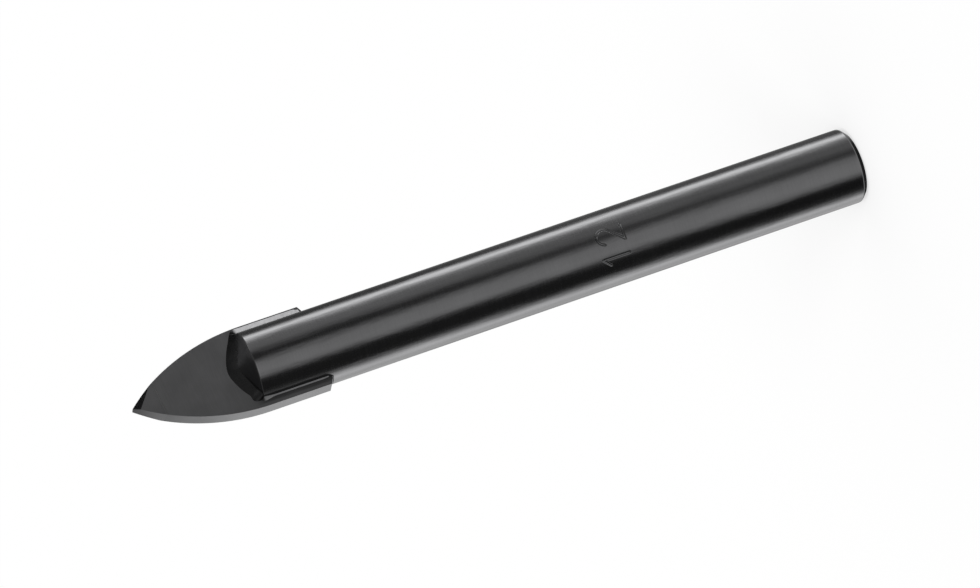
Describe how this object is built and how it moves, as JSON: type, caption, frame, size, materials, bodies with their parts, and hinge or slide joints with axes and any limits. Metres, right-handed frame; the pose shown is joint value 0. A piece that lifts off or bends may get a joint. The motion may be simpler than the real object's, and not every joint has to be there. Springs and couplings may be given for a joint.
{
  "type": "glass and tile drill bit",
  "caption": "Drill bit for glass and tile: a plain round shank with a conical slotted nose and a ground carbide spear-point plate brazed across it.",
  "frame": {"origin": "centre of the flat face at the end of the shank, on which the bit stands", "axes": "+Z along the axis towards the point, X across the width of the spear-point plate, Y through its thickness"},
  "size_m": [0.012, 0.01, 0.1],
  "materials": {
    "shank": "polished dark steel with a fine turned grain",
    "carbide": "satin ground cemented carbide",
    "braze": "dull solidified brazing filler"
  },
  "bodies": {
    "root": {"shank": "shank", "carbide_tip": "carbide", "braze": "braze"}
  },
  "joints": []
}
